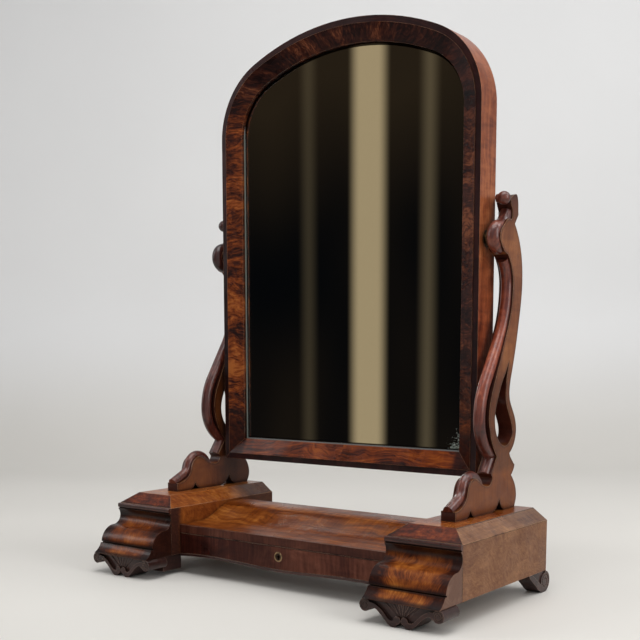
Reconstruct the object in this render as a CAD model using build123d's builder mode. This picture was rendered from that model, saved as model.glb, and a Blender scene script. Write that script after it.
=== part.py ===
"""Dressing table mirror: an arched swing mirror between pierced scroll uprights, on two
chamfered plinths with ogee fronts, joined by a moulded platform with one drawer.

Millimetres, +Z up, front towards -Y, +X to the right of someone who stands in front of the glass.
The origin is on the floor under the centre of the whole.
"""

import os
from math import asin, atan2, cos, degrees, hypot, pi, radians, sin, tan

from build123d import *

# Mirror frame
frame_width = 514.0
frame_below_pivot = 360.0
frame_side_height = 560.0
arch_rise = 158.0
arch_side_radius = 130.0
frame_thickness = 49.0
ledge_width = 10.0
ledge_step = 1.2
bevel_width = 26.0
bevel_depth = 13.0
lip_depth = 6.0
rebate_width = 8.0
glass_thickness = 4.0
glass_clearance = 0.5
packing_width = 12.0
backboard_thickness = 8.0
backboard_inset = 1.0

# Swivels, one on each side of the frame
swivel_gap = 8.0
pin_diameter = 8.0
pin_clearance = 0.06
pin_reach = 14.0
flange_diameter = 26.0
flange_thickness = 2.0
collar_diameter = 16.0
collar_clearance = 0.3
pin_seat_depth = 16.0
socket_plate_diameter = 26.0
socket_plate_thickness = 2.0
socket_bush_diameter = 14.0
socket_bush_depth = 16.0

# Uprights
upright_thickness = 24.0
foot_clearance = 51.0
bead_radius = 9.0
bead_head_radius = 10.0
bead_foot_radius = 8.0
bead_neck_radius = 8.5
tenon_length = 26.0
tenon_thickness = 10.0
tenon_depth = 12.0
tenon_clearance = 0.2
ball_radius = 10.0
ball_offset = 4.0
ball_neck_radius = 6.5
ball_neck_length = 11.0
outline_unit = 1.0
edge_upper_sweep = 150.0
edge_lower_sweep = 92.0
bead_lower_sweep = 100.0

# Plinths
foot_height = 34.0
plinth_width = 124.0
plinth_depth = 265.0
plinth_height = 79.0
plinth_wall = 12.0
plinth_bottom_thickness = 8.0
plinth_top_thickness = 17.5
chamfer_width = 24.0
chamfer_front_depth = 23.0
pivot_setback = 207.0
lip_height = 7.5
lip_projection = 5.0
ogee_projection = 61.0
ogee_shoulder = 44.0
quirk_height = 17.5
quirk_step = 2.0
quirk_groove = 2.2
quirk_depth = 2.6
ogee_rebate = 1.4
ogee_rebate_depth = 3.0

# Feet
front_foot_depth = 42.0
front_foot_setback = 3.0
volute_radius = 9.0
volute_inset = 3.5
curl_radius = 5.5
strap_thickness = 6.5
leaf_recess = 5.0
flute_radius = 2.4
flute_depth = 1.1
flute_fan = 19.0
spiral_width = 1.3
spiral_depth = 1.2
glue_block_length = 42.0
glue_block_width = 46.0
glue_block_height = 26.0
glue_block_inset = 4.0
rear_foot_thickness = 25.0
rear_foot_length = 58.0
rear_volute_radius = 16.5
rear_foot_overhang = 14.0
rear_foot_carving = 2.0
rear_strap_width = 9.0

# Platform and its drawer
platform_setback = 20.4
platform_depth = 163.6
platform_rear_height = 75.5
platform_front_height = 50.0
fascia_height = 14.0
fascia_thickness = 6.0
crest_depth = 28.0
hollow_depth = 46.0
rail_height = 4.2
rail_depth = 18.0
apron_dip = 4.5
apron_lift = 3.7
back_rail_thickness = 12.0
runner_width = 12.0
runner_height = 6.0
drawer_gap = 0.4
drawer_front_thickness = 18.0
drawer_side_thickness = 8.0
drawer_bottom_thickness = 5.0
drawer_bottom_rise = 3.0
drawer_back_room = 7.0
drawer_head_room = 2.0
escutcheon_diameter = 16.0
escutcheon_thickness = 2.0
escutcheon_proud = 0.8
escutcheon_rim = 2.2
escutcheon_dish = 1.0
keyhole_diameter = 5.6
keyhole_slot_width = 2.8
keyhole_slot_length = 5.2
lock_width = 44.0
lock_height = 26.0
lock_thickness = 9.0

# Widths across the object, from the frame outwards
member_width = ledge_width + bevel_width
half_frame = frame_width / 2
upright_x = half_frame + swivel_gap + upright_thickness / 2
plinth_x = upright_x
plinth_in = plinth_x - plinth_width / 2
plinth_out = plinth_x + plinth_width / 2

# Depths, from the front of the feet to the back of the rear scrolls
overall_depth = ogee_projection + plinth_depth + rear_foot_overhang
carcase_front = ogee_projection - overall_depth / 2
carcase_back = carcase_front + plinth_depth
ogee_front = carcase_front - ogee_projection
pivot_y = carcase_front + pivot_setback
frame_front = pivot_y - frame_thickness / 2
platform_front = carcase_front + platform_setback
platform_back = platform_front + platform_depth

# Heights, from the floor up
plinth_bottom = foot_height
plinth_chamfer = plinth_bottom + plinth_height
plinth_top = plinth_chamfer + plinth_top_thickness
frame_bottom = plinth_top + foot_clearance
pivot_z = frame_bottom + frame_below_pivot
spring_z = frame_bottom + frame_side_height
fascia_top = plinth_bottom + platform_front_height
fascia_bottom = fascia_top - fascia_height
crest_z = plinth_bottom + platform_rear_height

# The arch: two side arcs run into one flatter crown arc, all tangent
side_centre = half_frame - arch_side_radius
crown_share = side_centre**2 + arch_rise**2 - arch_side_radius**2
crown_radius = crown_share / (2 * (arch_rise - arch_side_radius))
crown_drop = crown_radius - arch_rise
side_turn = degrees(atan2(crown_drop, side_centre))
crown_turn = 90 - side_turn

os.makedirs("parts", exist_ok=True)


def save(part, name):
    part.label = name
    export_step(part, f"parts/{name}.step")


def front_plane(y):
    """Plane facing the viewer at depth y, drawn in X and Z."""
    return Plane.XZ.offset(-y)


def side_plane(x):
    """Plane facing +X at x, drawn in Y and Z."""
    return Plane.YZ.offset(x)


def arch_outline(inset):
    """Outline of the frame, moved inwards by inset."""
    a = half_frame - inset
    low = frame_bottom + inset
    r_side = arch_side_radius - inset
    r_crown = crown_radius - inset
    reach = radians(side_turn)
    knee = (side_centre + r_side * cos(reach), spring_z + r_side * sin(reach))
    mid = (side_centre + r_side * cos(reach / 2), spring_z + r_side * sin(reach / 2))
    top = (0, spring_z - crown_drop + r_crown)
    Polyline((-a, spring_z), (-a, low), (a, low), (a, spring_z))
    ThreePointArc((a, spring_z), mid, knee)
    ThreePointArc(knee, top, (-knee[0], knee[1]))
    ThreePointArc((-knee[0], knee[1]), (-mid[0], mid[1]), (-a, spring_z))


def hoop(section):
    """Two stiles and the arch over them, with one section all the way round."""
    with BuildPart() as ring:
        for side in (1, -1):
            stile = [(side * (half_frame - w), frame_front + d) for w, d in section]
            with BuildSketch(Plane.XY.offset(frame_bottom)):
                with BuildLine():
                    Polyline(*stile, close=True)
                make_face()
            extrude(amount=frame_side_height)
            with BuildSketch(Plane.XY.offset(spring_z)):
                with BuildLine():
                    Polyline(*stile, close=True)
                make_face()
            revolve(axis=Axis((side * side_centre, 0, spring_z), (0, -side, 0)), revolution_arc=side_turn)
            with BuildSketch(side_plane(0)):
                with BuildLine():
                    top = [(frame_front + d, spring_z + arch_rise - w) for w, d in section]
                    Polyline(*top, close=True)
                make_face()
            revolve(axis=Axis((0, 0, spring_z - crown_drop), (0, side, 0)), revolution_arc=crown_turn)
    return ring.part


def bottom_rail(section):
    """The frame's straight bottom member."""
    with BuildPart() as bar:
        with BuildSketch(side_plane(0)):
            with BuildLine():
                Polyline(*[(frame_front + d, frame_bottom + w) for w, d in section], close=True)
            make_face()
        extrude(amount=half_frame, both=True)
    return bar.part


def mitre_triangle(side, rail):
    """What a bottom corner's mitre takes off the rail, or else off the stile."""
    low = (side * half_frame, frame_bottom)
    high = (side * (half_frame - member_width), frame_bottom + member_width)
    square = (low[0], high[1]) if rail else (high[0], low[1])
    with BuildSketch() as triangle:
        with BuildLine():
            Polyline(low, high, square, close=True)
        make_face()
    return triangle.sketch


# Deep rebated core of the frame and the bevelled facing that lies in it, each a hoop
# and a bottom rail with mitred corners. Sections run inwards from the outer edge.
lip_back = bevel_depth + lip_depth
core_section = [
    (0, ledge_step),
    (ledge_width, ledge_step),
    (ledge_width, lip_back),
    (member_width - rebate_width, lip_back),
    (member_width - rebate_width, frame_thickness),
    (0, frame_thickness),
]
face_section = [
    (ledge_width, 0),
    (member_width, bevel_depth),
    (member_width, lip_back),
    (ledge_width, lip_back),
]

for piece, section in (("frame_core", core_section), ("frame_facing", face_section)):
    with BuildPart() as arch:
        add(hoop(section))
        with BuildSketch(front_plane(frame_front)):
            for side in (1, -1):
                add(mitre_triangle(side, rail=False))
        extrude(amount=-frame_thickness, mode=Mode.SUBTRACT)
        for side in (1, -1):
            with BuildSketch(side_plane(side * half_frame)):
                with Locations((pivot_y, pivot_z)):
                    Circle(socket_plate_diameter / 2)
            extrude(amount=-side * socket_plate_thickness, mode=Mode.SUBTRACT)
            with BuildSketch(side_plane(side * half_frame)):
                with Locations((pivot_y, pivot_z)):
                    Circle(socket_bush_diameter / 2)
            extrude(amount=-side * socket_bush_depth, mode=Mode.SUBTRACT)
    save(arch.part, f"{piece}_arch")

    with BuildPart() as rail:
        add(bottom_rail(section))
        with BuildSketch(front_plane(frame_front)):
            for side in (1, -1):
                add(mitre_triangle(side, rail=True))
        extrude(amount=-frame_thickness, mode=Mode.SUBTRACT)
    save(rail.part, f"{piece}_rail")

# Glass, the packing strips behind it and the backboard, all inside the rebate
rebate_inset = member_width - rebate_width + glass_clearance
glass_front = frame_front + lip_back
backboard_front = frame_front + frame_thickness - backboard_inset - backboard_thickness

with BuildPart() as mirror_glass:
    with BuildSketch(front_plane(glass_front)):
        with BuildLine():
            arch_outline(rebate_inset)
        make_face()
    extrude(amount=-glass_thickness)
save(mirror_glass.part, "mirror_glass")

with BuildPart() as glass_packing:
    with BuildSketch(front_plane(glass_front + glass_thickness)):
        with BuildLine():
            arch_outline(member_width - rebate_width)
        make_face()
        with BuildLine():
            arch_outline(member_width - rebate_width + packing_width)
        make_face(mode=Mode.SUBTRACT)
    extrude(amount=-(backboard_front - glass_front - glass_thickness))
save(glass_packing.part, "glass_packing")

with BuildPart() as backboard:
    with BuildSketch(front_plane(backboard_front)):
        with BuildLine():
            arch_outline(rebate_inset)
        make_face()
    extrude(amount=-backboard_thickness)
save(backboard.part, "backboard")


# Uprights. Their outline is drawn about the pivot: y from the pivot line, and z either from
# the plinth top (foot), from the pivot (head), or as a share of the rise between (scroll), in
# steps of outline_unit.
rise = pivot_z - plinth_top
tenon_places = (-57 * outline_unit, 27 * outline_unit)


def foot(y, z):
    return (pivot_y + y * outline_unit, plinth_top + z * outline_unit)


def scroll(y, share):
    return (pivot_y + y * outline_unit, plinth_top + share * rise)


def head(y, z):
    return (pivot_y + y * outline_unit, pivot_z + z * outline_unit)


def s_curve(upper, upper_radius, lower, lower_radius):
    """Tangent arc, line and arc between two points where the curve runs straight down.
    Returns the turn in degrees and the two ends of the line."""
    total = upper_radius + lower_radius
    across = upper[0] - lower[0] - total
    drop = upper[1] - lower[1]
    turn = asin(total / hypot(across, drop)) + atan2(across, drop)
    start = (upper[0] - upper_radius * (1 - cos(turn)), upper[1] - upper_radius * sin(turn))
    end = (lower[0] + lower_radius * (1 - cos(turn)), lower[1] + lower_radius * sin(turn))
    return degrees(turn), start, end


edge_upper, edge_lower = head(27, -70), scroll(-43, 0.344)
edge_turn, edge_start, edge_end = s_curve(edge_upper, edge_upper_sweep, edge_lower, edge_lower_sweep)
bead_upper, bead_lower = head(29, -70), scroll(-52, 0.344)
bead_turn, bead_start, bead_end = s_curve(bead_upper, edge_upper_sweep, bead_lower, bead_lower_sweep)

with BuildPart() as board:
    with BuildSketch(side_plane(upright_x - upright_thickness / 2)):
        with BuildLine():
            # toe and foot roll
            Line(foot(-108, 0), foot(-140, 0))
            Line(foot(-140, 0), foot(-140, 14.5))
            Spline(
                foot(-140, 14.5), foot(-123, 17.5), foot(-107, 31), foot(-101, 47), foot(-86, 57),
                foot(-66, 49), foot(-48, 42.5),
            )
            ThreePointArc(foot(-48, 42.5), foot(-36, 43.5), foot(-29.5, 53))
            Line(foot(-29.5, 53), foot(-34, 59))
            Line(foot(-34, 59), foot(-16, 84))
            # belly and long S of the front edge
            ThreePointArc(foot(-16, 84), scroll(-36, 0.277), edge_lower)
            RadiusArc(edge_lower, edge_end, edge_lower_sweep)
            Line(edge_end, edge_start)
            RadiusArc(edge_start, edge_upper, -edge_upper_sweep)
            ThreePointArc(edge_upper, head(20.5, -41), head(7, -24))
            # nose at the pivot, neck and ear
            Spline(
                head(7, -24), head(-10, -15), head(-18, 2), head(-7, 17), head(12, 28), head(20, 42),
                tangents=[(-1, 0.1), (-0.1, 1)],
            )
            Spline(
                head(20, 42), head(14, 58), head(26, 65), head(38, 53),
                tangents=[(-0.6, 1), (0.15, -1)],
            )
            Line(head(38, 53), head(39, 36))
            Line(head(39, 36), head(28, 22))
            # long back edge down to the lobe
            Spline(
                head(28, 22), head(48, -10), head(57, -60), scroll(47, 0.687), scroll(30, 0.529),
                scroll(23, 0.41), scroll(37, 0.358), scroll(46, 0.295),
            )
            ThreePointArc(scroll(46, 0.295), scroll(41.5, 0.252), scroll(25, 0.211))
            Spline(scroll(25, 0.211), foot(35, 74), foot(43, 67.5), tangents=[(0.3, -1), (1, -0.5)])
            Spline(foot(43, 67.5), foot(40, 60), foot(32, 51.8), tangents=[(-0.1, -1), (-1, -0.9)])
            Spline(
                foot(32, 51.8), foot(47, 33), foot(50.5, 17), foot(44, 0),
                tangents=[(1, -0.9), (-0.6, -1)],
            )
            # three lobes along the bottom, with a pointed notch between each pair
            Line(foot(44, 0), foot(13, 0))
            ThreePointArc(foot(13, 0), foot(0, 7), foot(-5, 19))
            ThreePointArc(foot(-5, 19), foot(-14, 7), foot(-31, 0))
            Line(foot(-31, 0), foot(-82, 0))
            ThreePointArc(foot(-82, 0), foot(-91, 4.5), foot(-95, 13))
            ThreePointArc(foot(-95, 13), foot(-100, 4.5), foot(-108, 0))
        make_face()
        # teardrop piercing, pointed above
        with BuildLine():
            Spline(
                scroll(23, 0.575), scroll(11, 0.48), scroll(11, 0.405), scroll(27, 0.335),
                scroll(33, 0.28), scroll(12, 0.24), scroll(-15, 0.273), scroll(-25, 0.345),
                scroll(-17, 0.415), scroll(0, 0.49), scroll(23, 0.575),
                tangents=[(-0.55, -1), (0.55, 1)],
            )
        make_face(mode=Mode.SUBTRACT)
    extrude(amount=upright_thickness)

with BuildPart() as upright:
    add(board.part)
    # stub tenons into the plinth top
    with BuildSketch(Plane.XY.offset(plinth_top)):
        for y in tenon_places:
            with Locations((upright_x, pivot_y + y)):
                Rectangle(tenon_thickness, tenon_length)
    extrude(amount=-tenon_depth)
    # seat of the swivel's flange on the inner face
    with BuildSketch(side_plane(upright_x - upright_thickness / 2)):
        with Locations((pivot_y, pivot_z)):
            Circle(flange_diameter / 2)
    extrude(amount=flange_thickness, mode=Mode.SUBTRACT)
    with BuildSketch(side_plane(upright_x - upright_thickness / 2)):
        with Locations((pivot_y, pivot_z)):
            Circle(pin_diameter / 2)
    extrude(amount=pin_seat_depth, mode=Mode.SUBTRACT)

# Round bead worked along the front edge of the long S, and under the belly down the neck
with BuildPart() as scroll_bead:
    with BuildLine(side_plane(upright_x)) as bead_path:
        JernArc(bead_upper, (0, 1), 60 * outline_unit, 42)
        RadiusArc(bead_upper, bead_start, edge_upper_sweep)
        Line(bead_start, bead_end)
        RadiusArc(bead_end, bead_lower, -bead_lower_sweep)
        JernArc(bead_lower, (0, -1), 60 * outline_unit, 75)
    with BuildSketch(Plane(bead_path.wire() @ 0, z_dir=bead_path.wire() % 0)):
        Circle(bead_radius)
    sweep()
    with BuildLine(side_plane(upright_x)) as neck_path:
        Line(foot(-9, 90.8), foot(-31.6, 57.3))
    with BuildSketch(Plane(neck_path.wire() @ 0, z_dir=neck_path.wire() % 0)):
        Circle(bead_neck_radius)
    sweep(path=neck_path.wire())
    add(board.part, mode=Mode.SUBTRACT)

# Bead round the nose, dying away up the neck under the ball
with BuildPart() as head_bead:
    with BuildLine(side_plane(upright_x)) as nose_path:
        nose = JernArc(head(-1, -14.5), (-1, 0), 15.5 * outline_unit, -170)
        neck = JernArc(nose @ 1, nose % 1, 32 * outline_unit, 45)
        Line(neck @ 1, neck @ 1 + 12 * outline_unit * (neck % 1))
    with BuildSketch(Plane(nose_path.wire() @ 0, z_dir=nose_path.wire() % 0)):
        Circle(bead_head_radius)
    sweep()
    add(board.part, mode=Mode.SUBTRACT)

# Turned ball on a short neck, which ends the head's scroll
with BuildPart() as head_ball:
    with Locations(side_plane(upright_x + ball_offset).from_local_coords(Vector(*head(6, 58.5), 0))):
        Sphere(ball_radius)
    with BuildSketch(side_plane(upright_x + ball_offset - ball_neck_length)):
        with Locations(head(6, 58.5)):
            Circle(ball_neck_radius)
    extrude(amount=ball_neck_length)
    add(board.part, mode=Mode.SUBTRACT)

# Bead over the foot roll and down to the toe
with BuildPart() as foot_bead:
    with BuildLine(side_plane(upright_x)) as toe_path:
        JernArc(foot(-79, 59), (1, 0), 26.5 * outline_unit, -70)
        fall = JernArc(foot(-79, 59), (-1, 0), 22.5 * outline_unit, 75)
        flare = JernArc(fall @ 1, fall % 1, 23.5 * outline_unit, -50)
        Line(flare @ 1, flare @ 1 + 30 * outline_unit * (flare % 1))
    with BuildSketch(Plane(toe_path.wire() @ 0, z_dir=toe_path.wire() % 0)):
        Circle(bead_foot_radius)
    sweep()
    add(board.part, mode=Mode.SUBTRACT)

# Swivel: a flanged pin let into the upright, with a collar that keeps the frame central
with BuildPart() as swivel_pin:
    with BuildSketch(side_plane(upright_x - upright_thickness / 2)):
        with Locations((pivot_y, pivot_z)):
            Circle(flange_diameter / 2)
    extrude(amount=flange_thickness)
    with BuildSketch(side_plane(upright_x - upright_thickness / 2)):
        with Locations((pivot_y, pivot_z)):
            Circle(collar_diameter / 2)
    extrude(amount=-(swivel_gap - collar_clearance))
    with BuildSketch(side_plane(half_frame - pin_reach)):
        with Locations((pivot_y, pivot_z)):
            Circle(pin_diameter / 2)
    extrude(amount=pin_reach + swivel_gap + pin_seat_depth)
    chamfer(swivel_pin.edges().sort_by(Axis.X)[0], length=1)

# Socket plate and bush let into the frame's side
with BuildPart() as swivel_socket:
    with BuildSketch(side_plane(half_frame)):
        with Locations((pivot_y, pivot_z)):
            Circle(socket_plate_diameter / 2)
    extrude(amount=-socket_plate_thickness)
    with BuildSketch(side_plane(half_frame)):
        with Locations((pivot_y, pivot_z)):
            Circle(socket_bush_diameter / 2)
    extrude(amount=-socket_bush_depth)
    with BuildSketch(side_plane(half_frame)):
        with Locations((pivot_y, pivot_z)):
            Circle(pin_diameter / 2 + pin_clearance)
    extrude(amount=-(pin_reach + 1), mode=Mode.SUBTRACT)

# Plinth: a box of four sides with a bottom, under a top with chamfered edges
with BuildPart() as plinth_box:
    with BuildSketch(Plane.XY.offset(plinth_bottom)):
        with Locations((plinth_x, carcase_front + plinth_depth / 2)):
            Rectangle(plinth_width, plinth_depth)
            Rectangle(plinth_width - 2 * plinth_wall, plinth_depth - 2 * plinth_wall, mode=Mode.SUBTRACT)
    extrude(amount=plinth_height)

with BuildPart() as plinth_floor:
    with BuildSketch(Plane.XY.offset(plinth_bottom)):
        with Locations((plinth_x, carcase_front + plinth_depth / 2)):
            Rectangle(plinth_width - 2 * plinth_wall, plinth_depth - 2 * plinth_wall)
    extrude(amount=plinth_bottom_thickness)

with BuildPart() as plinth_lid:
    with BuildSketch(front_plane(carcase_back)):
        with BuildLine():
            Polyline(
                (plinth_in, plinth_chamfer), (plinth_out, plinth_chamfer),
                (plinth_out - chamfer_width, plinth_top), (plinth_in + chamfer_width, plinth_top),
                close=True,
            )
        make_face()
    extrude(amount=plinth_depth)
    with BuildSketch(side_plane(plinth_in)):
        with BuildLine():
            Polyline(
                (carcase_front, plinth_chamfer), (carcase_front + chamfer_front_depth, plinth_top),
                (carcase_front, plinth_top), close=True,
            )
        make_face()
    extrude(amount=plinth_width, mode=Mode.SUBTRACT)
    with BuildSketch(Plane.XY.offset(plinth_top)):
        for y in tenon_places:
            with Locations((upright_x, pivot_y + y)):
                Rectangle(tenon_thickness + 2 * tenon_clearance, tenon_length + 2 * tenon_clearance)
    extrude(amount=-(tenon_depth + tenon_clearance), mode=Mode.SUBTRACT)

# Ogee block on the plinth's front: a rebate and arris under the lip, hollow, round shoulder,
# sunk quirk and flare
quirk_z = plinth_bottom + quirk_height
hollow_top = plinth_chamfer - lip_height
arris_z = hollow_top - ogee_rebate
arris_front = carcase_front - lip_projection
rebate_back = arris_front + ogee_rebate_depth
shoulder_front = carcase_front - ogee_shoulder
flare_top = quirk_z - quirk_groove
flare_drop = flare_top - plinth_bottom
ogee_drop = arris_z - quirk_z
with BuildPart() as ogee_block:
    with BuildSketch(side_plane(plinth_in)):
        with BuildLine():
            Polyline(
                (carcase_front, plinth_bottom), (carcase_front, hollow_top), (rebate_back, hollow_top),
                (rebate_back, arris_z), (arris_front, arris_z),
            )
            hollow = ThreePointArc(
                (arris_front, arris_z),
                (carcase_front - 0.02 * ogee_shoulder, quirk_z + 0.71 * ogee_drop),
                (carcase_front - 0.36 * ogee_shoulder, quirk_z + 0.49 * ogee_drop),
            )
            TangentArc(hollow @ 1, (shoulder_front, quirk_z), tangent=hollow % 1)
            Polyline(
                (shoulder_front, quirk_z), (shoulder_front + quirk_depth, quirk_z),
                (shoulder_front + quirk_depth, flare_top), (shoulder_front - quirk_step, flare_top),
            )
            ThreePointArc(
                (shoulder_front - quirk_step, flare_top),
                (shoulder_front - quirk_step - 4.5, plinth_bottom + flare_drop / 2),
                (ogee_front, plinth_bottom),
            )
            Line((ogee_front, plinth_bottom), (carcase_front, plinth_bottom))
        make_face()
    extrude(amount=plinth_width)

with BuildPart() as lip_moulding:
    with BuildSketch(side_plane(plinth_in)):
        with Locations((carcase_front - lip_projection / 2, plinth_chamfer - lip_height / 2)):
            Rectangle(lip_projection, lip_height)
    extrude(amount=plinth_width)
    fillet(lip_moulding.edges().filter_by(Axis.X).group_by(Axis.Y)[0], radius=2)

# Front foot: two C scrolls with volutes at the corners, curled in to a cleft, and the
# fan-shaped leaf between them
volute_x = plinth_width / 2 - volute_inset
volute_z = foot_height - volute_radius
curl_x = curl_radius + 0.4
curl_z = curl_radius + 5
strap_low = 12.0
foot_front = ogee_front + front_foot_setback


def spiral(centre, start, turn, outer, inner):
    """Points of one and a half turns inwards round centre, from start degrees, measured as for
    the right-hand side. turn is 1 or -1, the way round."""
    points = []
    for step in range(19):
        share = step / 18
        angle = radians(start if turn < 0 else 180 - start) + turn * share * 3 * pi
        radius = outer + (inner - outer) * share
        points.append((centre[0] + radius * cos(angle), centre[1] + radius * sin(angle)))
    return points


# The leaf, with flutes that fan out from the cleft
with BuildPart() as leaf:
    with BuildSketch(front_plane(foot_front + leaf_recess)):
        with BuildLine():
            Polyline(
                (plinth_x - volute_x, foot_height), (plinth_x - volute_x + 10, volute_z + 2),
                (plinth_x - strap_low - 15, 14), (plinth_x - strap_low, 3), (plinth_x - curl_x, 7),
                (plinth_x + curl_x, 7), (plinth_x + strap_low, 3), (plinth_x + strap_low + 15, 14),
                (plinth_x + volute_x - 10, volute_z + 2), (plinth_x + volute_x, foot_height),
                close=True,
            )
        make_face()
    extrude(amount=-(front_foot_depth - leaf_recess))
    flute_y = foot_front + leaf_recess - flute_radius + flute_depth
    for step in (-2.5, -1.5, -0.5, 0.5, 1.5, 2.5):
        with Locations(Location((plinth_x, flute_y, curl_z - 2), (0, step * flute_fan, 0))):
            Cylinder(
                flute_radius, 4 * foot_height, align=(Align.CENTER, Align.CENTER, Align.MIN),
                mode=Mode.SUBTRACT,
            )

with BuildPart() as front_foot:
    with BuildSketch(front_plane(foot_front)):
        for side in (1, -1):
            with Locations((plinth_x + side * volute_x, volute_z)):
                Circle(volute_radius)
            with Locations((plinth_x + side * curl_x, curl_z)):
                Circle(curl_radius)
            with BuildLine():
                hook = (plinth_x + side * (volute_x - volute_radius), volute_z - 6)
                sole = (plinth_x + side * strap_low, 0)
                cleft = (plinth_x + side * curl_x, 5)
                rise_start = (plinth_x + side * (curl_x + 2), curl_z + 3)
                rise_end = (plinth_x + side * (volute_x - 6), volute_z + 5)
                Spline(
                    hook,
                    (plinth_x + side * (volute_x - 14), volute_z - 2),
                    (plinth_x + side * (strap_low + 23), 17.5),
                    (plinth_x + side * (strap_low + 12), 7),
                    (plinth_x + side * (strap_low + 5), 1.2),
                    sole,
                )
                ThreePointArc(sole, (plinth_x + side * (strap_low - 4), 1.8), cleft)
                Line(cleft, rise_start)
                Spline(
                    rise_start,
                    (plinth_x + side * (strap_low + 3), strap_thickness + 2.5),
                    (plinth_x + side * (strap_low + 17), strap_thickness + 13),
                    (plinth_x + side * (volute_x - 17), volute_z + 3),
                    rise_end,
                )
                Line(rise_end, hook)
            make_face()
    extrude(amount=-front_foot_depth)
    add(leaf.part)
    with BuildSketch(front_plane(foot_front)):
        for side in (1, -1):
            with BuildLine():
                eye = (plinth_x + side * volute_x, volute_z)
                Spline(*spiral(eye, 150, -side, volute_radius - 1.8, 2.6))
            trace(line_width=spiral_width)
    extrude(amount=-spiral_depth, mode=Mode.SUBTRACT)

glue_block_x = plinth_in + glue_block_inset + glue_block_width / 2
glue_block_y = foot_front + front_foot_depth + glue_block_length / 2
with BuildPart() as glue_block:
    with BuildSketch(Plane.XY.offset(plinth_bottom)):
        with Locations((glue_block_x, glue_block_y)):
            Rectangle(glue_block_width, glue_block_length)
    extrude(amount=-glue_block_height)

# Rear foot: a bracket under the outer side that sweeps down and curls up at the back,
# with the ground between strap and volute carved down
rear_tip = carcase_back + rear_foot_overhang
rear_volute = (rear_tip - rear_volute_radius, rear_volute_radius)
rear_start = carcase_back - rear_foot_length
with BuildPart() as rear_foot:
    with BuildSketch(side_plane(plinth_out - rear_foot_thickness)):
        with BuildLine():
            Line((carcase_back, foot_height), (rear_start, foot_height))
            Spline(
                (rear_start, foot_height),
                (rear_start + 0.34 * rear_foot_length, 0.5 * foot_height),
                (rear_start + 0.6 * rear_foot_length, 0.16 * foot_height),
                (rear_start + 0.78 * rear_foot_length, 0),
                tangents=[(0.5, -1), (1, -0.5)],
            )
            Line((rear_start + 0.78 * rear_foot_length, 0), (rear_volute[0], 0))
            Line((rear_volute[0], 0), rear_volute)
            Line(rear_volute, (carcase_back, foot_height))
        make_face()
        with Locations(rear_volute):
            Circle(rear_volute_radius)
    extrude(amount=rear_foot_thickness)
    with BuildSketch(side_plane(plinth_out)):
        with BuildLine():
            Spline(
                (rear_start + rear_strap_width, foot_height),
                (rear_start + 0.34 * rear_foot_length + rear_strap_width, 0.5 * foot_height + 5),
                (rear_start + 0.66 * rear_foot_length + rear_strap_width, 0.3 * foot_height),
            )
            Line(
                (rear_start + 0.66 * rear_foot_length + rear_strap_width, 0.3 * foot_height),
                (rear_volute[0], rear_volute[1] + 1),
            )
            Line((rear_volute[0], rear_volute[1] + 1), (rear_volute[0], foot_height))
            Line((rear_volute[0], foot_height), (rear_start + rear_strap_width, foot_height))
        make_face()
        with Locations(rear_volute):
            Circle(rear_volute_radius - 3, mode=Mode.SUBTRACT)
    extrude(amount=-rear_foot_carving, mode=Mode.SUBTRACT)
    with BuildSketch(side_plane(plinth_out)):
        with BuildLine():
            Spline(*spiral(rear_volute, 225, 1, rear_volute_radius - 3.4, 4))
        trace(line_width=1.4 * spiral_width)
    extrude(amount=-spiral_depth, mode=Mode.SUBTRACT)

# What each side has, the left being the right's mirror image
sides = {
    "upright": upright,
    "scroll_bead": scroll_bead,
    "head_bead": head_bead,
    "head_ball": head_ball,
    "foot_bead": foot_bead,
    "swivel_pin": swivel_pin,
    "swivel_socket": swivel_socket,
    "plinth_box": plinth_box,
    "plinth_floor": plinth_floor,
    "plinth_top": plinth_lid,
    "ogee_block": ogee_block,
    "lip_moulding": lip_moulding,
    "front_foot": front_foot,
    "glue_block": glue_block,
    "rear_foot": rear_foot,
}
for name, piece in sides.items():
    save(piece.part, f"{name}_right")
    with BuildPart() as twin:
        mirror(piece.part, about=Plane.YZ)
    save(twin.part, f"{name}_left")

# Platform between the plinths: fascia, moulded top and back rail
platform_width = 2 * plinth_in
with BuildPart() as platform_fascia:
    with BuildSketch(side_plane(-plinth_in)):
        with BuildLine():
            Polyline(
                (platform_front, fascia_bottom),
                (platform_front + fascia_thickness, fascia_bottom),
                (platform_front + fascia_thickness, fascia_top),
                (platform_front, fascia_top),
                close=True,
            )
        make_face()
    extrude(amount=platform_width)
save(platform_fascia.part, "platform_fascia")

top_start = platform_front + fascia_thickness
underside_z = fascia_bottom + drawer_head_room
hollow_end = platform_front + hollow_depth
crest_start = platform_back - crest_depth
cyma_mid = ((hollow_end + crest_start) / 2, (fascia_top + crest_z) / 2)
with BuildPart() as platform_top:
    with BuildSketch(side_plane(-plinth_in)):
        with BuildLine():
            Line((top_start, underside_z), (top_start, fascia_top))
            Line((top_start, fascia_top), (hollow_end, fascia_top))
            Spline(
                (hollow_end, fascia_top), cyma_mid, (crest_start, crest_z),
                tangents=[(1, 0), (1, 0)],
            )
            Polyline(
                (crest_start, crest_z),
                (platform_back, crest_z),
                (platform_back, underside_z),
                (top_start, underside_z),
            )
        make_face()
    extrude(amount=platform_width)
save(platform_top.part, "platform_top")

back_rail_y = platform_back - back_rail_thickness / 2
with BuildPart() as back_rail:
    with BuildSketch(side_plane(-plinth_in)):
        with Locations((back_rail_y, (underside_z + plinth_bottom) / 2)):
            Rectangle(back_rail_thickness, underside_z - plinth_bottom)
    extrude(amount=platform_width)
save(back_rail.part, "platform_back_rail")


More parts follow.
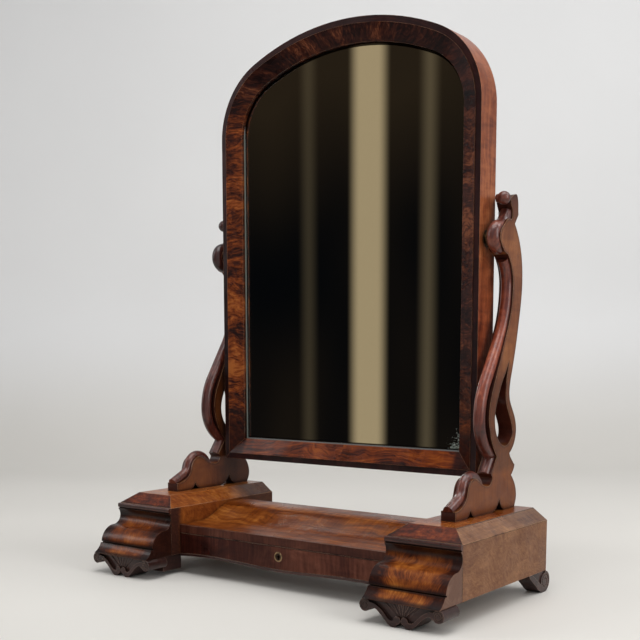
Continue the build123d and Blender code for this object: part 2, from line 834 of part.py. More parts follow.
def apron_line(offset, reach):
    """Serpentine lower line of the drawer front, deep at the middle and the ends."""
    return [
        (-reach, plinth_bottom + 0.6 + offset),
        (-0.69 * plinth_in, plinth_bottom + apron_lift + offset),
        (0, plinth_bottom + apron_lift - apron_dip + offset),
        (0.69 * plinth_in, plinth_bottom + apron_lift + offset),
        (reach, plinth_bottom + 0.6 + offset),
    ]


with BuildPart() as apron_rail:
    with BuildSketch(front_plane(platform_front)):
        with BuildLine():
            upper = apron_line(-drawer_gap, plinth_in)
            lower = apron_line(-drawer_gap - rail_height, plinth_in)
            Spline(*upper)
            Line(upper[-1], lower[-1])
            Spline(*lower)
            Line(lower[0], upper[0])
        make_face()
    extrude(amount=-rail_depth)
save(apron_rail.part, "apron_rail")

# Drawer and its runners
drawer_width = platform_width - 2 * drawer_gap
drawer_back = platform_back - back_rail_thickness - drawer_back_room
runner_top = plinth_bottom + runner_height
runner_front = platform_front + rail_depth
runner_back = platform_back - back_rail_thickness
side_low = runner_top + 0.3
side_high = fascia_bottom - 1.0
drawer_low = platform_front + drawer_front_thickness
keyhole_z = (fascia_bottom + plinth_bottom) / 2 + 1.4

with BuildPart() as drawer_front:
    with BuildSketch(front_plane(platform_front)):
        with BuildLine():
            edge = apron_line(0, drawer_width / 2)
            Spline(*edge)
            Polyline(
                edge[-1],
                (drawer_width / 2, fascia_bottom - drawer_gap),
                (-drawer_width / 2, fascia_bottom - drawer_gap),
                edge[0],
            )
        make_face()
    extrude(amount=-drawer_front_thickness)
    with BuildSketch(front_plane(platform_front)):
        with Locations((0, keyhole_z)):
            Circle(escutcheon_diameter / 2)
    extrude(amount=-(escutcheon_thickness - escutcheon_proud), mode=Mode.SUBTRACT)
    with BuildSketch(front_plane(platform_front + drawer_front_thickness)):
        with Locations((0, keyhole_z)):
            Rectangle(lock_width, lock_height)
    extrude(amount=lock_thickness, mode=Mode.SUBTRACT)
    with BuildSketch(front_plane(platform_front)):
        with Locations((0, keyhole_z)):
            Circle(keyhole_diameter / 2)
        with Locations((0, keyhole_z - keyhole_slot_length / 2)):
            Rectangle(keyhole_slot_width, keyhole_slot_length)
    extrude(amount=-drawer_front_thickness, mode=Mode.SUBTRACT)
save(drawer_front.part, "drawer_front")

# Round keyhole plate with a raised rim
with BuildPart() as escutcheon:
    with BuildSketch(front_plane(platform_front - escutcheon_proud)):
        with Locations((0, keyhole_z)):
            Circle(escutcheon_diameter / 2)
            Circle(keyhole_diameter / 2, mode=Mode.SUBTRACT)
        with Locations((0, keyhole_z - keyhole_slot_length / 2)):
            Rectangle(keyhole_slot_width, keyhole_slot_length, mode=Mode.SUBTRACT)
    extrude(amount=-escutcheon_thickness)
    rims = escutcheon.edges().filter_by(GeomType.CIRCLE).sort_by(SortBy.RADIUS)[-2:]
    fillet(rims.sort_by(Axis.Y)[0], radius=0.5)
    with BuildSketch(front_plane(platform_front - escutcheon_proud)):
        with Locations((0, keyhole_z)):
            Circle(escutcheon_diameter / 2 - escutcheon_rim)
    extrude(amount=-escutcheon_dish, mode=Mode.SUBTRACT)
save(escutcheon.part, "escutcheon")

with BuildPart() as drawer_lock:
    with BuildSketch(front_plane(platform_front + drawer_front_thickness - lock_thickness)):
        with Locations((0, keyhole_z)):
            Rectangle(lock_width, lock_height)
            Circle(keyhole_diameter / 2, mode=Mode.SUBTRACT)
        with Locations((0, keyhole_z - keyhole_slot_length / 2)):
            Rectangle(keyhole_slot_width, keyhole_slot_length, mode=Mode.SUBTRACT)
    extrude(amount=-lock_thickness)
save(drawer_lock.part, "drawer_lock")

for side, tag in ((1, "right"), (-1, "left")):
    with BuildPart() as drawer_side:
        with BuildSketch(Plane.XY.offset(side_low)):
            with Locations((side * (drawer_width - drawer_side_thickness) / 2, (drawer_low + drawer_back) / 2)):
                Rectangle(drawer_side_thickness, drawer_back - drawer_low)
        extrude(amount=side_high - side_low)
    save(drawer_side.part, f"drawer_side_{tag}")
    with BuildPart() as runner:
        with BuildSketch(Plane.XY.offset(plinth_bottom)):
            with Locations((side * (plinth_in - runner_width / 2), (runner_front + runner_back) / 2)):
                Rectangle(runner_width, runner_back - runner_front)
        extrude(amount=runner_height)
    save(runner.part, f"drawer_runner_{tag}")

inner_width = drawer_width - 2 * drawer_side_thickness
with BuildPart() as drawer_back_board:
    with BuildSketch(Plane.XY.offset(side_low)):
        with Locations((0, drawer_back - drawer_side_thickness / 2)):
            Rectangle(inner_width, drawer_side_thickness)
    extrude(amount=side_high - side_low)
save(drawer_back_board.part, "drawer_back")

with BuildPart() as drawer_bottom:
    with BuildSketch(Plane.XY.offset(side_low + drawer_bottom_rise)):
        with Locations((0, (drawer_low + drawer_back - drawer_side_thickness) / 2)):
            Rectangle(inner_width, drawer_back - drawer_side_thickness - drawer_low)
    extrude(amount=drawer_bottom_thickness)
save(drawer_bottom.part, "drawer_bottom")
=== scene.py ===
"""Dressing table mirror: materials, stage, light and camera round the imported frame.

Metres, +Z up, front towards -Y. Every form is in the frame's solids, which only get materials here.
The camera stands where the photograph's camera stood.
"""

import math

import bpy
from mathutils import Matrix, Vector


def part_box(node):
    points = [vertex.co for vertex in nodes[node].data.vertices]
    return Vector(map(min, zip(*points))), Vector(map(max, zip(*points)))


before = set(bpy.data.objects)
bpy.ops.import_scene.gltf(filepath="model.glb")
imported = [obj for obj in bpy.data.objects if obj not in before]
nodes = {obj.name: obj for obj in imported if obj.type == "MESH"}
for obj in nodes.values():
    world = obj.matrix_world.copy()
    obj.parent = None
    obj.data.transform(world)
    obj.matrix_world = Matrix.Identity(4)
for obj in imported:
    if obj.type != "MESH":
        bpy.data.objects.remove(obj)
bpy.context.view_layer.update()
scene = bpy.context.scene

# Camera, as fitted to the photograph: angles in degrees, lens and sensor in millimetres
camera_place = (1.0071, -1.3129, 0.3689)
camera_yaw = 37.07
camera_pitch = -6.75
camera_roll = -0.09
camera_lens = 57.76
camera_sensor = 36.0
camera_shift = 0.2434

# The mirror's frame: its arch, the length of its grain per radian there, and the glass's edge in sight
core_low, core_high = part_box("frame_core_arch")
arch_rise = 0.158
arch_stretch = core_high.x / arch_rise
spring_z = core_high.z - arch_rise
sight_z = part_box("frame_facing_rail")[1].z
sight_x = core_high.x - (sight_z - core_low.z)
glass_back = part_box("mirror_glass")[1].y
bend_length = 0.21

# The base: joints and edges where the finish changes
plinth_low, plinth_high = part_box("plinth_box_right")
ogee_low, ogee_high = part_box("ogee_block_right")
plate_low, plate_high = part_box("escutcheon")
carcase_front = plinth_low.y
chamfer_foot = plinth_high.z
plinth_top_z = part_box("plinth_top_right")[1].z
ogee_middle = (ogee_low.x + ogee_high.x) / 2
keyhole_z = (plate_low.z + plate_high.z) / 2
drawer_seam = (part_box("drawer_front")[1].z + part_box("platform_fascia")[0].z) / 2

# Details that are only drawn: the back's boards, the reeds on the lip, the dish round the keyhole
board_width = 0.156
reed_start = 0.0975
reed_pitch = 0.00374
dish_radius = 0.0056


def tone(red, green, blue):
    """A colour seen on screen, 0 to 255, as the linear colour that shaders take."""
    parts = []
    for part in (red, green, blue):
        share = part / 255
        parts.append(share / 12.92 if share <= 0.04045 else ((share + 0.055) / 1.055) ** 2.4)
    return (*parts, 1.0)


class Graph:
    """One material, with short ways to add nodes to it.

    x, y and z are a point's place, and side its distance from the middle. look_x, look_y and look_z
    are the direction that its face looks in.
    """

    def __init__(self, name):
        self.material = bpy.data.materials.new(name)
        self.material.use_nodes = True
        self.tree = self.material.node_tree
        self.shader = self.tree.nodes["Principled BSDF"]
        places = self.add("ShaderNodeTexCoord")
        self.place = places.outputs["Object"]
        self.x, self.y, self.z = self.split(self.place)
        self.side = self.maths("ABSOLUTE", self.x)
        self.look_x, self.look_y, self.look_z = self.split(places.outputs["Normal"])

    def add(self, kind, **settings):
        node = self.tree.nodes.new(kind)
        for name, value in settings.items():
            setattr(node, name, value)
        return node

    def put(self, socket, value):
        if isinstance(value, bpy.types.NodeSocket):
            self.tree.links.new(value, socket)
        else:
            socket.default_value = value

    def set(self, **values):
        """Puts values on the surface shader, whose sockets are named with spaces."""
        for name, value in values.items():
            self.put(self.shader.inputs[name.replace("_", " ")], value)

    def maths(self, operation, first, second=0.0, third=None):
        node = self.add("ShaderNodeMath", operation=operation)
        self.put(node.inputs[0], first)
        self.put(node.inputs[1], second)
        if third is not None:
            self.put(node.inputs[2], third)
        return node.outputs[0]

    def swing(self, value, amount, base=0.0):
        """base, plus amount times how far value is above one half."""
        return self.maths("MULTIPLY_ADD", self.maths("SUBTRACT", value, 0.5), amount, base)

    def apart(self, first, second):
        """How far two values are apart."""
        return self.maths("ABSOLUTE", self.maths("SUBTRACT", first, second))

    def vector(self, operation, first, second=(0.0, 0.0, 0.0)):
        node = self.add("ShaderNodeVectorMath", operation=operation)
        self.put(node.inputs[0], first)
        self.put(node.inputs[1], second)
        return node.outputs["Value"] if operation in ("DOT_PRODUCT", "LENGTH") else node.outputs["Vector"]

    def split(self, vector):
        node = self.add("ShaderNodeSeparateXYZ")
        self.put(node.inputs[0], vector)
        return node.outputs[0], node.outputs[1], node.outputs[2]

    def join(self, x, y, z):
        node = self.add("ShaderNodeCombineXYZ")
        for socket, value in zip(node.inputs, (x, y, z)):
            self.put(socket, value)
        return node.outputs[0]

    def distance(self, first, second):
        """How far a point with these two coordinates is from zero."""
        return self.vector("LENGTH", self.join(first, second, 0.0))

    def noise(self, vector, stretch, detail=3.0, rough=0.55, bend=0.0):
        """Soft noise from 0 to 1, with so many waves in a metre, along all axes or along each."""
        if isinstance(stretch, float):
            stretch = (stretch, stretch, stretch)
        node = self.add("ShaderNodeTexNoise", noise_dimensions="3D")
        self.put(node.inputs["Vector"], self.vector("MULTIPLY", vector, stretch))
        node.inputs["Scale"].default_value = 1.0
        node.inputs["Detail"].default_value = detail
        node.inputs["Roughness"].default_value = rough
        node.inputs["Distortion"].default_value = bend
        return node.outputs["Fac"]

    def pick(self, number):
        """A value from 0 to 1 that belongs to a whole number."""
        node = self.add("ShaderNodeTexWhiteNoise", noise_dimensions="1D")
        self.put(node.inputs["W"], number)
        return node.outputs["Value"]

    def between(self, value, low, high, from_value=0.0, to_value=1.0):
        """value, eased from low to high, as from_value to to_value."""
        node = self.add("ShaderNodeMapRange", interpolation_type="SMOOTHSTEP")
        self.put(node.inputs["Value"], value)
        self.put(node.inputs["From Min"], low)
        self.put(node.inputs["From Max"], high)
        self.put(node.inputs["To Min"], from_value)
        self.put(node.inputs["To Max"], to_value)
        return node.outputs["Result"]

    def ramp(self, value, tones):
        """A ramp from the darkest tone to the lightest, evenly spaced."""
        node = self.add("ShaderNodeValToRGB")
        self.put(node.inputs["Fac"], value)
        points = node.color_ramp.elements
        while len(points) < len(tones):
            points.new(0.5)
        for i, colour in enumerate(tones):
            points[i].position = 0.15 + 0.7 * i / (len(tones) - 1)
            points[i].color = colour
        return node.outputs["Color"]

    def mix(self, share, first, second, how="MIX"):
        """The first colour, with the second over it by a share."""
        node = self.add("ShaderNodeMix", data_type="RGBA", blend_type=how)
        self.put(node.inputs[0], share)
        self.put(node.inputs[6], first)
        self.put(node.inputs[7], second)
        return node.outputs[2]

    def bump(self, height, depth, normal):
        node = self.add("ShaderNodeBump")
        node.inputs["Strength"].default_value = 1.0
        node.inputs["Distance"].default_value = depth
        self.put(node.inputs["Height"], height)
        self.put(node.inputs["Normal"], normal)
        return node.outputs["Normal"]

    def corners(self, reach):
        """How far a point lies in a corner between surfaces: 0 in the open, 1 deep inside."""
        node = self.add("ShaderNodeAmbientOcclusion", samples=6)
        node.inputs["Distance"].default_value = reach
        return self.maths("SUBTRACT", 1.0, node.outputs["AO"])

    def bevel(self, reach, samples):
        """The surface's normal with its edges eased, and the cosine of how far that turns it."""
        node = self.add("ShaderNodeBevel", samples=samples)
        node.inputs["Radius"].default_value = reach
        eased = node.outputs["Normal"]
        plain = self.add("ShaderNodeNewGeometry").outputs["True Normal"]
        return eased, self.vector("DOT_PRODUCT", eased, plain)

    def edges(self, reach):
        """The surface's normal with its edges eased, and 1 on those edges."""
        eased, cosine = self.bevel(reach, 4)
        return eased, self.between(cosine, 0.995, 0.90)


def along(axis):
    """Grain that runs along an axis, in a board."""
    first = "XYZ".index(axis)

    def place(graph):
        parts = (graph.x, graph.y, graph.z)
        return graph.join(*parts[first:], *parts[:first])

    return place


def round_frame(graph):
    """Distance along the frame's members from the bottom, and distance from the middle of its arch."""
    above = graph.maths("MAXIMUM", graph.maths("SUBTRACT", graph.z, spring_z), 0.0)
    rise = graph.maths("MULTIPLY", above, arch_stretch)
    angle = graph.maths("ARCTAN2", rise, graph.side)
    straight = graph.maths("MINIMUM", graph.z, spring_z)
    bent = graph.maths("MULTIPLY", angle, bend_length)
    return graph.maths("ADD", straight, bent), graph.distance(graph.side, rise)


def frame_lengthwise(graph):
    """Grain along the frame's members, not the same on both sides."""
    length, radius = round_frame(graph)
    return graph.join(length, graph.maths("ADD", radius, graph.maths("SIGN", graph.x)), graph.y)


def frame_crosswise(graph):
    """Grain across the frame's members, not the same on both sides."""
    length, radius = round_frame(graph)
    return graph.join(radius, graph.maths("ADD", length, graph.maths("SIGN", graph.x)), graph.y)


def wander(graph, way, reach, scale):
    """Grain that wanders sideways by up to reach, over distances set by scale."""
    first = graph.noise(way, (scale * 0.55, scale, scale), detail=2.0)
    elsewhere = graph.vector("ADD", way, (3.1, 7.7, 1.9))
    second = graph.noise(elsewhere, (scale * 2.1, scale * 2.6, scale * 2.6), detail=2.0)
    drift = graph.swing(second, reach * 1.5, graph.swing(first, reach * 4))
    return graph.vector("ADD", way, graph.join(0.0, drift, drift))


def timber(
    name,
    grain,
    tones,
    figure=None,
    shades=(),
    drift=0.010,
    drift_scale=9.0,
    broad=(5.0, 17.0, 17.0),
    fine=(7.0, 210.0, 210.0),
    ribbon=(52.0, 19.0, 19.0),
    streak=0.36,
    mottle=0.24,
    contrast=3.0,
    polish=0.34,
    gloss=0.12,
    coat=0.14,
    coat_rough=0.14,
    ripple=0.0022,
    easing=0.0012,
    # Worn edges with painted highlights: share and tone
    wear_and_highlight=0.35,
    worn_and_lit_tone=tone(158, 104, 72),
    # Dirt and painted shade in the corners: share, reach and tone
    dirt_and_shade=0.85,
    dirt_and_shade_reach=0.010,
    dirt_and_shade_tone=tone(13, 6, 5),
):
    """Old polished timber or veneer: figure and pores along the grain, dirt and painted shade in its
    corners, worn edges with painted highlights, and a French polish that is duller where it is handled.

    broad, fine and ribbon are the waves in a metre of three noises, along the grain and across it, and
    streak and mottle are the shares that the last two have in the tones. drift is how far the grain
    wanders sideways. ripple, easing and the reach of the dirt and painted shade are lengths, and the
    other numbers are shares.
    """
    graph = Graph(name)
    way = wander(graph, grain(graph), drift, drift_scale)
    broad_noise = graph.noise(way, broad, detail=3.0, bend=0.6)
    streak_noise = graph.noise(way, fine, detail=5.0, rough=0.62, bend=0.25)
    mottle_noise = graph.noise(way, ribbon, detail=2.5, rough=0.6, bend=0.8)
    value = graph.maths("MULTIPLY", broad_noise, 1 - streak - mottle)
    value = graph.maths("MULTIPLY_ADD", streak_noise, streak, value)
    value = graph.maths("MULTIPLY_ADD", mottle_noise, mottle, value)
    value = graph.swing(value, contrast, 0.5)
    if figure:
        value = graph.maths("ADD", value, figure(graph, way))
    colour = graph.ramp(value, tones)
    for shade in shades:
        colour = shade(graph, value, colour)
    pores = graph.between(graph.noise(way, (75.0, 1500.0, 1500.0), detail=2.0), 0.60, 0.72)
    colour = graph.mix(graph.maths("MULTIPLY", pores, 0.5), colour, tone(22, 9, 6))
    eased, edge = graph.edges(easing)
    # Worn edges with painted highlights: a paler tone laid in patches on the edges
    rubbed_and_lit = graph.between(graph.noise(graph.place, 38.0, detail=3.0), 0.30, 0.56)
    rubbed_and_lit = graph.maths("MULTIPLY", graph.maths("MULTIPLY", edge, rubbed_and_lit), wear_and_highlight)
    colour = graph.mix(rubbed_and_lit, colour, worn_and_lit_tone)
    # Dirt and painted shade: a near-black tone laid into corners, darker the more closed in, which also
    # dulls the polish there
    overlay = graph.between(graph.corners(dirt_and_shade_reach), 0.18, 0.85)
    overlay = graph.maths("MULTIPLY", overlay, dirt_and_shade)
    colour = graph.mix(overlay, colour, dirt_and_shade_tone)
    handled = graph.noise(graph.place, 9.0, detail=4.0, rough=0.65)
    roughness = graph.between(handled, 0.3, 0.7, polish - 0.09, polish + 0.13)
    roughness = graph.maths("MULTIPLY_ADD", overlay, 0.35, roughness)
    waved = graph.bump(graph.noise(graph.place, 14.0, detail=1.0), ripple, eased)
    normal = graph.bump(streak_noise, 0.00012, waved)
    normal = graph.bump(graph.maths("SUBTRACT", 1.0, pores), 0.00005, normal)
    graph.set(Base_Color=colour, Roughness=roughness, Normal=normal)
    graph.set(Specular_IOR_Level=gloss, Coat_Weight=coat, Coat_Roughness=coat_rough, Coat_Normal=waved)
    return graph.material


def lay(mask, colour, share=1.0, how="MIX"):
    """A colour laid over the figure where mask says."""

    def shade(graph, value, before):
        return graph.mix(graph.maths("MULTIPLY", mask(graph), share), before, colour, how)

    return shade


def tint(mask, colour, share=1.0):
    """The figure darkened by a colour where mask says."""
    return lay(mask, colour, share, "MULTIPLY")


def recolour(mask, tones, share=1.0):
    """The same figure in other tones where mask says."""

    def shade(graph, value, before):
        after = graph.ramp(value, tones)
        return graph.mix(graph.maths("MULTIPLY", mask(graph), share), before, after)

    return shade


def reaching(part, low, high):
    """A mask that goes from 0 to 1 as one of a graph's own values goes from low to high."""

    def mask(graph):
        return graph.between(getattr(graph, part), low, high)

    return mask


def all_of(first, *others):
    """A mask that is 1 where all of these are."""

    def mask(graph):
        share = first(graph)
        for other in others:
            share = graph.maths("MULTIPLY", share, other(graph))
        return share

    return mask


def any_of(first, *others):
    """A mask that is 1 where any of these is."""

    def mask(graph):
        share = first(graph)
        for other in others:
            share = graph.maths("MAXIMUM", share, other(graph))
        return share

    return mask


def line_at(part, where, width, faces):
    """A mask that is 1 in a thin line where one of a graph's own values is where, on some faces."""

    def mask(graph):
        near = graph.between(graph.apart(getattr(graph, part), where), width, width * 0.5)
        return graph.maths("MULTIPLY", near, faces(graph))

    return mask


def away_from_middle(graph):
    """How much a face looks away from the middle of the object, from -1 to 1."""
    return graph.maths("MULTIPLY", graph.look_x, graph.maths("SIGN", graph.x))


def outward(graph):
    return graph.between(away_from_middle(graph), 0.35, 0.6)


def inward(graph):
    return graph.between(away_from_middle(graph), -0.35, -0.6)


forward = reaching("look_y", -0.35, -0.6)
backward = reaching("look_y", 0.35, 0.6)
upward = reaching("look_z", 0.8, 0.95)

# A hair's breadth beside the joint between plinth and ogee block, seen from the side
seam_beside = line_at("y", carcase_front, 0.0010, any_of(outward, inward))


def painted_frame_shadow(graph):
    """Painted shadow of the frame: 1 on inner faces behind it, and less on upper ones."""
    upper = graph.maths("MULTIPLY", graph.between(graph.look_z, 0.5, 0.9), 0.4)
    shaded = graph.maths("MAXIMUM", inward(graph), upper)
    return graph.maths("MULTIPLY", graph.between(graph.y, 0.03, 0.10), shaded)


def give(material, *names):
    """Puts one material on each of these nodes."""
    for name in names:
        mesh = nodes[name].data
        mesh.materials.clear()
        mesh.materials.append(material)


def both(*stems):
    """The left and right node of each stem."""
    return [f"{stem}_{side}" for stem in stems for side in ("left", "right")]


def curl(graph, way):
    """Broad smooth waves of grain, with fine lines that follow them."""
    sway = graph.noise(way, 15.0, detail=2.0)
    way = graph.vector("ADD", way, graph.join(0.0, graph.swing(sway, 0.07), 0.0))
    waves = graph.noise(way, (8.0, 40.0, 8.0), detail=3.0)
    eyes = graph.noise(way, (40.0, 60.0, 40.0), detail=2.0, bend=1.0)
    lines = graph.noise(way, (10.0, 430.0, 30.0), detail=2.0)
    return graph.swing(lines, 0.7, graph.swing(eyes, 0.3, graph.swing(waves, 1.3)))


def cross_bands(period, depth):
    """Pieces of curly cross-banded veneer, each with its own tone."""

    def figure(graph, way):
        wave = graph.noise(graph.place, 6.0, detail=1.0)
        length = graph.maths("MULTIPLY_ADD", wave, 0.02, graph.split(way)[1])
        number = graph.maths("FLOOR", graph.maths("DIVIDE", length, period))
        return graph.maths("ADD", graph.swing(graph.pick(number), depth), curl(graph, way))

    return figure


# The mirror's frame: a bevelled veneered facing on a core
high_on_right = all_of(reaching("z", 0.60, 0.80), reaching("x", 0.0, 0.2))
low_on_stiles = reaching("z", 0.36, 0.26)
rail_height = reaching("z", sight_z + 0.0085, sight_z + 0.0015)
mitre_corners = all_of(reaching("side", 0.210, 0.220), reaching("z", 0.268, 0.244))
dark_stile = all_of(reaching("x", 0.1, 0.2), reaching("z", 0.235, 0.30))
dark_veneer = any_of(reaching("z", 0.76, 0.83), dark_stile)

facing = timber(
    "facing_veneer",
    frame_crosswise,
    [tone(30, 10, 6), tone(64, 26, 11), tone(98, 44, 17), tone(124, 61, 24), tone(152, 86, 38)],
    figure=cross_bands(0.118, 0.24),
    shades=[
        recolour(
            dark_veneer,
            [tone(20, 7, 7), tone(36, 15, 12), tone(54, 24, 16), tone(80, 40, 25), tone(116, 66, 42)],
        ),
        tint(high_on_right, tone(156, 132, 136)),
        tint(low_on_stiles, tone(255, 250, 220), 0.8),
        tint(rail_height, tone(222, 196, 150), 0.9),
        tint(mitre_corners, tone(92, 62, 66), 0.9),
    ],
    gloss=0.08,
    coat=0.09,
    streak=0.5,
    mottle=0.2,
    contrast=2.4,
    polish=0.30,
    worn_and_lit_tone=tone(160, 112, 82),
    wear_and_highlight=0.9,
    easing=0.0007,
)
give(facing, "frame_facing_arch", "frame_facing_rail")

core = timber(
    "frame_mahogany",
    frame_lengthwise,
    [tone(66, 22, 12), tone(106, 46, 26), tone(140, 70, 42), tone(168, 96, 58)],
    shades=[
        # Painted light: paler, more orange tones from the middle of the sides upwards
        recolour(
            reaching("z", 0.34, 0.64),
            [tone(108, 48, 24), tone(152, 84, 48), tone(178, 108, 66), tone(196, 126, 82)],
            0.9,
        ),
        # Painted dark reflection: darker towards the top of the arch
        tint(reaching("z", 0.55, 0.80), tone(200, 182, 172)),
        recolour(forward, [tone(20, 8, 8), tone(36, 15, 14), tone(54, 25, 21)]),
        recolour(backward, [tone(46, 26, 18), tone(66, 40, 28), tone(84, 54, 38)], 0.8),
    ],
    coat=0.2,
    worn_and_lit_tone=tone(176, 122, 90),
    wear_and_highlight=0.9,
    easing=0.0009,
)
give(core, "frame_core_arch", "frame_core_rail")

# The uprights and the beads along their front edges
round_hole = all_of(reaching("z", 0.38, 0.31), reaching("z", 0.185, 0.20))
foot_height = reaching("z", 0.20, 0.185)
head_height = reaching("z", 0.53, 0.60)
lit_bend = all_of(reaching("z", 0.25, 0.34), reaching("z", 0.56, 0.44), reaching("x", -0.1, 0.1))
left_head = all_of(reaching("x", 0.1, -0.1), reaching("z", 0.42, 0.50))


def board_middle(graph):
    """1 on the flat of a board well away from its edges."""
    return graph.between(graph.bevel(0.0075, 6)[1], 0.93, 1.0)


upright_wood = timber(
    "upright_mahogany",
    along("Z"),
    [tone(52, 23, 13), tone(78, 40, 23), tone(104, 60, 37)],
    contrast=1.5,
    streak=0.28,
    mottle=0.3,
    shades=[
        recolour(
            board_middle,
            [tone(80, 38, 17), tone(112, 62, 31), tone(138, 84, 45), tone(162, 108, 64)],
        ),
        tint(head_height, tone(154, 128, 128), 0.9),
        tint(round_hole, tone(196, 184, 168)),
        tint(foot_height, tone(228, 210, 180)),
        # Painted shadow of the frame
        tint(painted_frame_shadow, tone(140, 130, 138), 0.9),
        recolour(forward, [tone(34, 12, 8), tone(58, 24, 15), tone(84, 38, 24)]),
    ],
    polish=0.38,
    dirt_and_shade_reach=0.018,
    worn_and_lit_tone=tone(190, 142, 98),
    wear_and_highlight=0.8,
)
give(upright_wood, *both("upright"))

bead_wood = timber(
    "bead_mahogany",
    along("Z"),
    [tone(44, 15, 12), tone(80, 35, 26), tone(118, 62, 46)],
    shades=[
        recolour(lit_bend, [tone(84, 28, 16), tone(138, 64, 40), tone(176, 98, 66)], 0.9),
        tint(left_head, tone(150, 136, 150)),
    ],
    polish=0.36,
    gloss=0.22,
    coat=0.5,
    coat_rough=0.17,
    dirt_and_shade_reach=0.012,
    dirt_and_shade=0.95,
    ripple=0.0012,
)
give(bead_wood, *both("scroll_bead", "head_bead", "head_ball", "foot_bead"))


def fiddleback(graph, way):
    """Short diagonal flecks that cross the grain."""
    first, second, third = graph.split(way)
    slant = graph.join(graph.maths("ADD", first, second), graph.maths("SUBTRACT", second, first), third)
    return graph.swing(graph.noise(slant, (250.0, 60.0, 90.0), detail=3.0, rough=0.6, bend=0.4), 0.75)


def chamfer_ends(graph):
    """1 towards the ends and the foot of the plinth's front chamfer."""
    ends = graph.between(graph.apart(graph.side, ogee_middle), 0.034, 0.060)
    foot = graph.between(graph.z, chamfer_foot + 0.0035, chamfer_foot + 0.0005)
    return graph.maths("MULTIPLY", graph.maths("MAXIMUM", ends, foot), forward(graph))


# The plinths, and the front of their inner sides, before the platform
front_of_inside = all_of(reaching("y", -0.078, -0.094), inward)

plinth_wood = timber(
    "plinth_veneer",
    along("Y"),
    [tone(84, 36, 11), tone(118, 58, 20), tone(146, 80, 30), tone(170, 104, 46)],
    figure=fiddleback,
    contrast=1.6,
    drift=0.03,
    shades=[
        recolour(outward, [tone(86, 54, 36), tone(112, 74, 52), tone(132, 92, 64), tone(150, 108, 76)]),
        recolour(backward, [tone(38, 22, 16), tone(56, 34, 24), tone(76, 48, 34)], 0.9),
        recolour(forward, [tone(30, 12, 8), tone(52, 22, 14), tone(72, 34, 20)], 0.9),
        recolour(front_of_inside, [tone(30, 14, 13), tone(50, 27, 23), tone(84, 44, 28)], 0.95),
        # Painted shadow of the frame
        tint(painted_frame_shadow, tone(120, 112, 118), 0.9),
        lay(seam_beside, tone(14, 8, 6), 0.9),
        lay(line_at("z", chamfer_foot, 0.0012, outward), tone(30, 14, 9), 0.85),
    ],
    polish=0.45,
    coat=0.08,
    coat_rough=0.26,
    worn_and_lit_tone=tone(184, 148, 118),
    wear_and_highlight=0.8,
    easing=0.0009,
)
give(plinth_wood, *both("plinth_box"))

plinth_top_wood = timber(
    "plinth_top_veneer",
    along("Y"),
    [tone(76, 30, 11), tone(118, 58, 22), tone(152, 88, 38), tone(182, 120, 64)],
    figure=fiddleback,
    contrast=2.0,
    shades=[
        recolour(outward, [tone(82, 50, 33), tone(112, 74, 50), tone(134, 94, 64), tone(156, 116, 80)]),
        recolour(forward, [tone(30, 9, 7), tone(62, 22, 12), tone(104, 44, 20), tone(142, 74, 36)]),
        tint(chamfer_ends, tone(112, 96, 98), 0.85),
        # Painted shadow of the frame
        tint(painted_frame_shadow, tone(120, 112, 118), 0.9),
        lay(line_at("z", plinth_top_z - 0.0004, 0.0009, outward), tone(40, 20, 12), 0.8),
    ],
    polish=0.30,
    coat=0.2,
    worn_and_lit_tone=tone(186, 142, 106),
    wear_and_highlight=0.9,
    easing=0.0009,
)
give(plinth_top_wood, *both("plinth_top"))


def plume(graph, way):
    """Crotch veneer on the ogee: fine rays that fan out from low in its middle and curl over,
    bright in the middle of the face and dark towards its ends."""
    across = graph.maths("SUBTRACT", graph.side, ogee_middle)
    height = graph.maths("ADD", graph.z, 0.015)
    sway = graph.swing(graph.noise(graph.place, 13.0, detail=2.0), 0.9)
    angle = graph.maths("ADD", graph.maths("ARCTAN2", across, height), sway)
    reach = graph.distance(across, height)
    rays = graph.noise(graph.join(angle, reach, 0.0), (70.0, 26.0, 1.0), detail=5.0, rough=0.68)
    rings = graph.noise(graph.join(reach, angle, 0.0), (42.0, 2.6, 1.0), detail=3.0, bend=0.8)
    clouds = graph.noise(graph.place, (30.0, 30.0, 44.0), detail=2.0)
    value = graph.swing(clouds, 0.8, graph.swing(rings, 0.4, graph.swing(rays, 0.9)))
    ends = graph.between(graph.maths("ABSOLUTE", across), 0.026, 0.064)
    return graph.maths("MULTIPLY_ADD", ends, -0.40, graph.maths("ADD", value, 0.04))


# The ogee blocks, with painted shade under the lip, painted shade and dirt at the quirk, a dark band
# along the bottom, and painted shade on their inner sides and over the whole left block
lip_shadow = reaching("z", 0.0860, 0.0955)
quirk = all_of(reaching("z", 0.0465, 0.0490), reaching("z", 0.0575, 0.0518))
ogee_foot = reaching("z", 0.0400, 0.0355)
left_block_shade = reaching("x", 0.0, -0.1)

ogee_wood = timber(
    "ogee_veneer",
    along("Z"),
    [tone(34, 11, 6), tone(74, 32, 12), tone(116, 58, 20), tone(148, 84, 32), tone(182, 118, 56)],
    figure=plume,
    contrast=1.2,
    gloss=0.09,
    shades=[
        # Painted shade under the lip, painted shade and dirt in the quirk, and a dark band along the
        # bottom
        lay(any_of(lip_shadow, quirk, ogee_foot), tone(20, 8, 7), 0.88),
        recolour(outward, [tone(104, 74, 60), tone(132, 102, 85), tone(152, 122, 102)]),
        # Painted shade: the inner sides darker
        recolour(inward, [tone(46, 24, 21), tone(72, 39, 30), tone(108, 58, 38)]),
        lay(seam_beside, tone(14, 8, 6), 0.9),
        # Painted shade: the left block darker all over
        tint(left_block_shade, tone(222, 208, 190)),
    ],
    polish=0.32,
    coat=0.13,
    worn_and_lit_tone=tone(120, 76, 52),
    wear_and_highlight=0.6,
    easing=0.0008,
)
